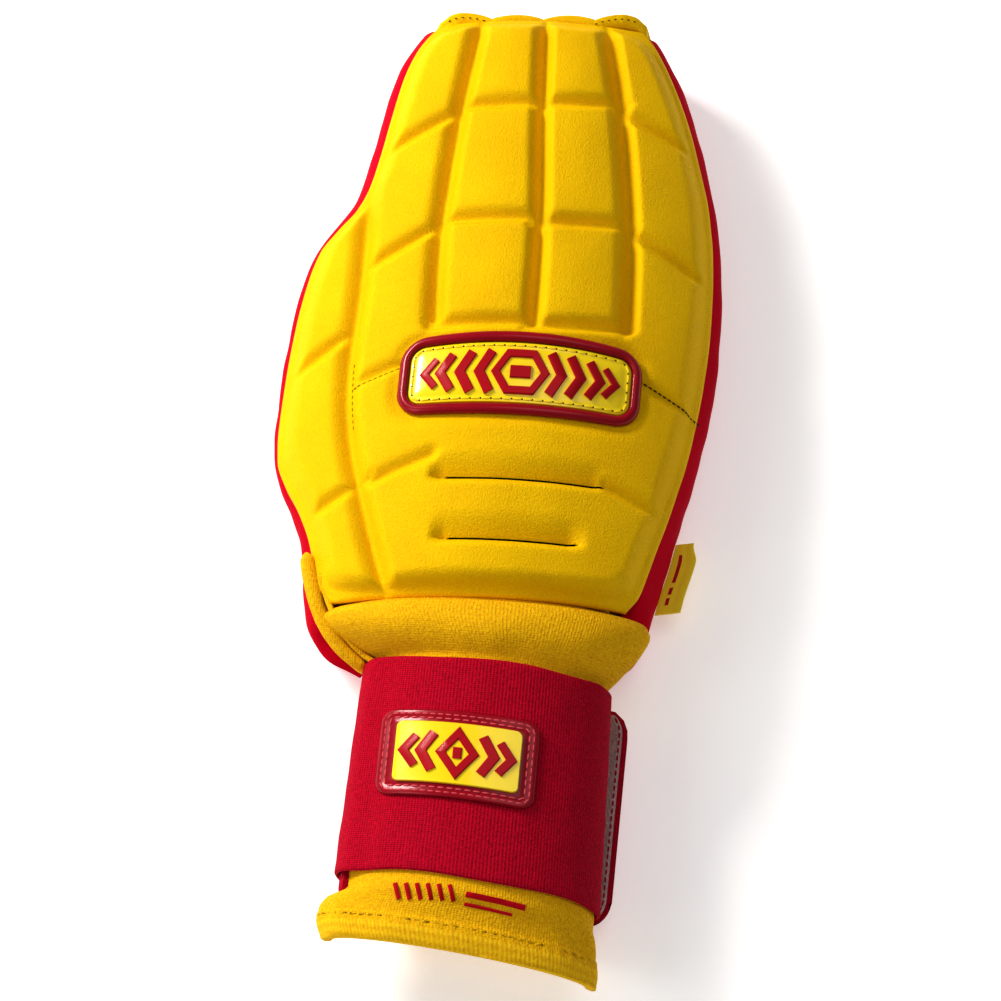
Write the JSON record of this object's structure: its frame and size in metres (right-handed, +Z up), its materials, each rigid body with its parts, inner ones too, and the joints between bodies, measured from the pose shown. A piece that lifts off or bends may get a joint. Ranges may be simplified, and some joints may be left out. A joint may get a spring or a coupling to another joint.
{
  "type": "sliding mitt",
  "caption": "Padded baseball sliding mitt, lying on its palm: grooved foam back, side walls, neoprene wrist sleeve and an elastic wrist strap with its free tail.",
  "frame": {"origin": "on the surface that the mitt lies on, under the middle of its bounding box", "axes": "+X from the thumb side to the little finger side, +Y from the wrist to the fingertips, +Z up through the back of the hand"},
  "size_m": [0.1472, 0.3408, 0.0598],
  "materials": {
    "pad_fabric": "smooth stretch fabric laminated to moulded foam, matt with a fine grain",
    "palm_fabric": "close-woven hard-wearing fabric, matt",
    "side_fabric": "smooth stretch fabric with a soft satin sheen",
    "neoprene": "neoprene faced with a fine textured jersey, matt",
    "strap_elastic": "woven elastic with close ribs, matt",
    "grip_fabric": "fuzzy hook-and-loop tape",
    "red_gloss": "moulded soft plastic, glossy",
    "yellow_gloss": "moulded soft plastic, glossy",
    "label_fabric": "folded satin tape"
  },
  "bodies": {
    "root": {"back_pad": "pad_fabric", "badge_border": "red_gloss", "badge_plate": "yellow_gloss", "palm_pad": "palm_fabric", "side_wall_thumb": "side_fabric", "side_wall_outer": "side_fabric", "fingertip_wall": "pad_fabric", "sleeve": "neoprene", "thumb_welt": "neoprene", "wrist_strap": "strap_elastic", "grip_patch": "grip_fabric", "strap_badge": "red_gloss", "strap_badge_plate": "yellow_gloss", "side_label": "label_fabric"}
  },
  "joints": []
}
